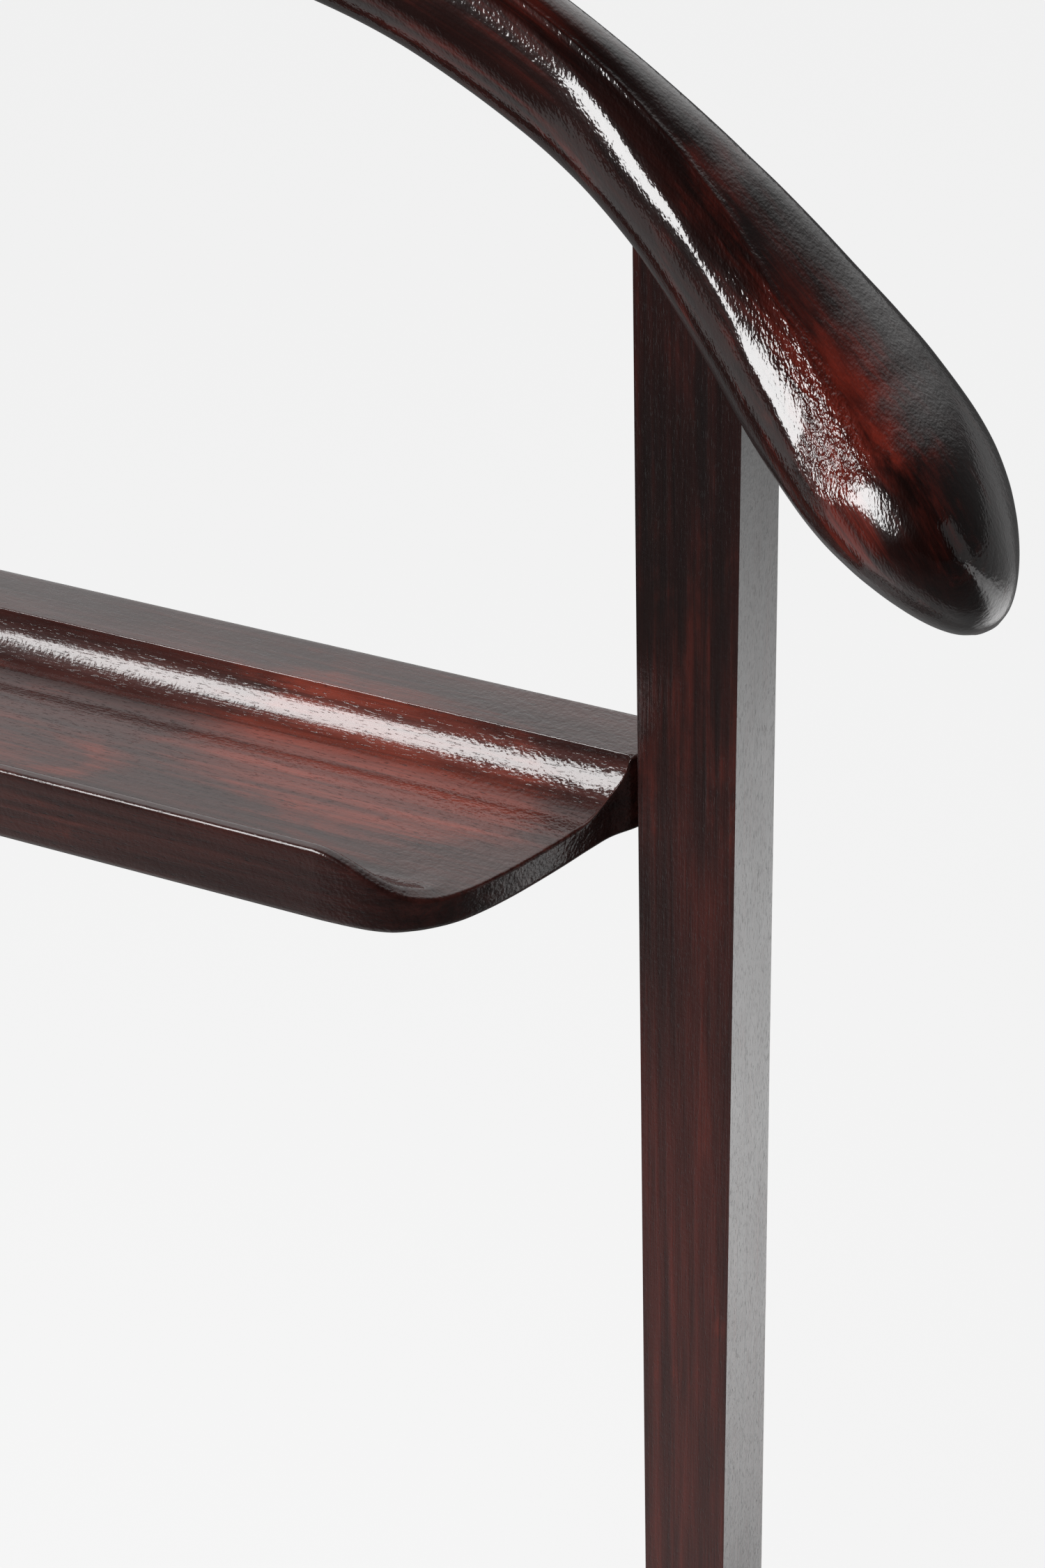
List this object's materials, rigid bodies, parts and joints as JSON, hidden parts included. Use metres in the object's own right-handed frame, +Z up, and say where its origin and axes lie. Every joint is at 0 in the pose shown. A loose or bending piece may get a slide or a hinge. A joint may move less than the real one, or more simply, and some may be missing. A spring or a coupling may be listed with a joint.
{
  "type": "clothes valet stand with trouser press",
  "caption": "Free-standing wooden clothes valet: carved yoke hanger and hollowed tray on two uprights, with a hinged trouser press held shut by a brass and wood bail.",
  "frame": {"origin": "on the floor, midway between the two feet and midway along them", "axes": "+Z up; -Y is the front, where the tray and the press open; +X is to the right seen from the front"},
  "size_m": [0.4778, 0.36, 1.123],
  "materials": {
    "stained_wood": "dark red-brown mahogany stain under glossy lacquer",
    "beech_dowel": "plain turned hardwood, unfinished",
    "press_felt": "dense wool felt, dark brown",
    "brass_hardware": "polished brass, slightly aged",
    "steel_screw": "zinc-plated steel",
    "glide": "dark moulded furniture glide"
  },
  "bodies": {
    "frame": {"hanger": "stained_wood", "hanger_pegs": "beech_dowel", "upright_left": "stained_wood", "upright_right": "stained_wood", "tray": "stained_wood", "tray_dowels": "beech_dowel", "foot_left": "stained_wood", "foot_right": "stained_wood", "foot_screws": "steel_screw", "glides": "glide", "shoe_rail_front": "stained_wood", "shoe_rail_rear": "stained_wood", "shoe_rail_screws": "steel_screw", "press_rail_lower": "stained_wood", "press_rail_upper": "stained_wood", "press_rail_dowels": "beech_dowel", "press_back_board": "stained_wood", "back_board_screws": "steel_screw", "back_pad": "press_felt", "hinge_fixed_leaves": "brass_hardware", "hinge_pins": "brass_hardware", "hinge_fixed_screws": "brass_hardware", "pivot_bolts": "brass_hardware", "pivot_spacers": "brass_hardware", "pivot_washers": "brass_hardware", "pivot_inserts": "brass_hardware", "stop_pins": "brass_hardware"},
    "front_board": {"press_front_board": "stained_wood", "front_pad": "press_felt", "batten_left": "stained_wood", "batten_right": "stained_wood", "batten_screws": "steel_screw", "hinge_moving_leaves": "brass_hardware", "hinge_moving_screws": "brass_hardware"},
    "bail": {"bail_arm_left": "brass_hardware", "bail_arm_right": "brass_hardware", "bail_bar": "stained_wood", "bail_bar_screws": "brass_hardware"}
  },
  "joints": [
    {"name": "bail_swing", "type": "hinge", "parent": "frame", "child": "bail", "pos_m": [0, 0.022, 0.25], "axis": [1, 0, 0], "range_deg": [0, 30]},
    {"name": "front_board_hinge", "type": "hinge", "parent": "frame", "child": "front_board", "pos_m": [0, 0.0105, 0.063], "axis": [1, 0, 0], "range_deg": [0, 15.6]}
  ],
  "couplings": [
    {"joint": "front_board_hinge", "follows": "bail_swing", "ratio": 0.52}
  ]
}
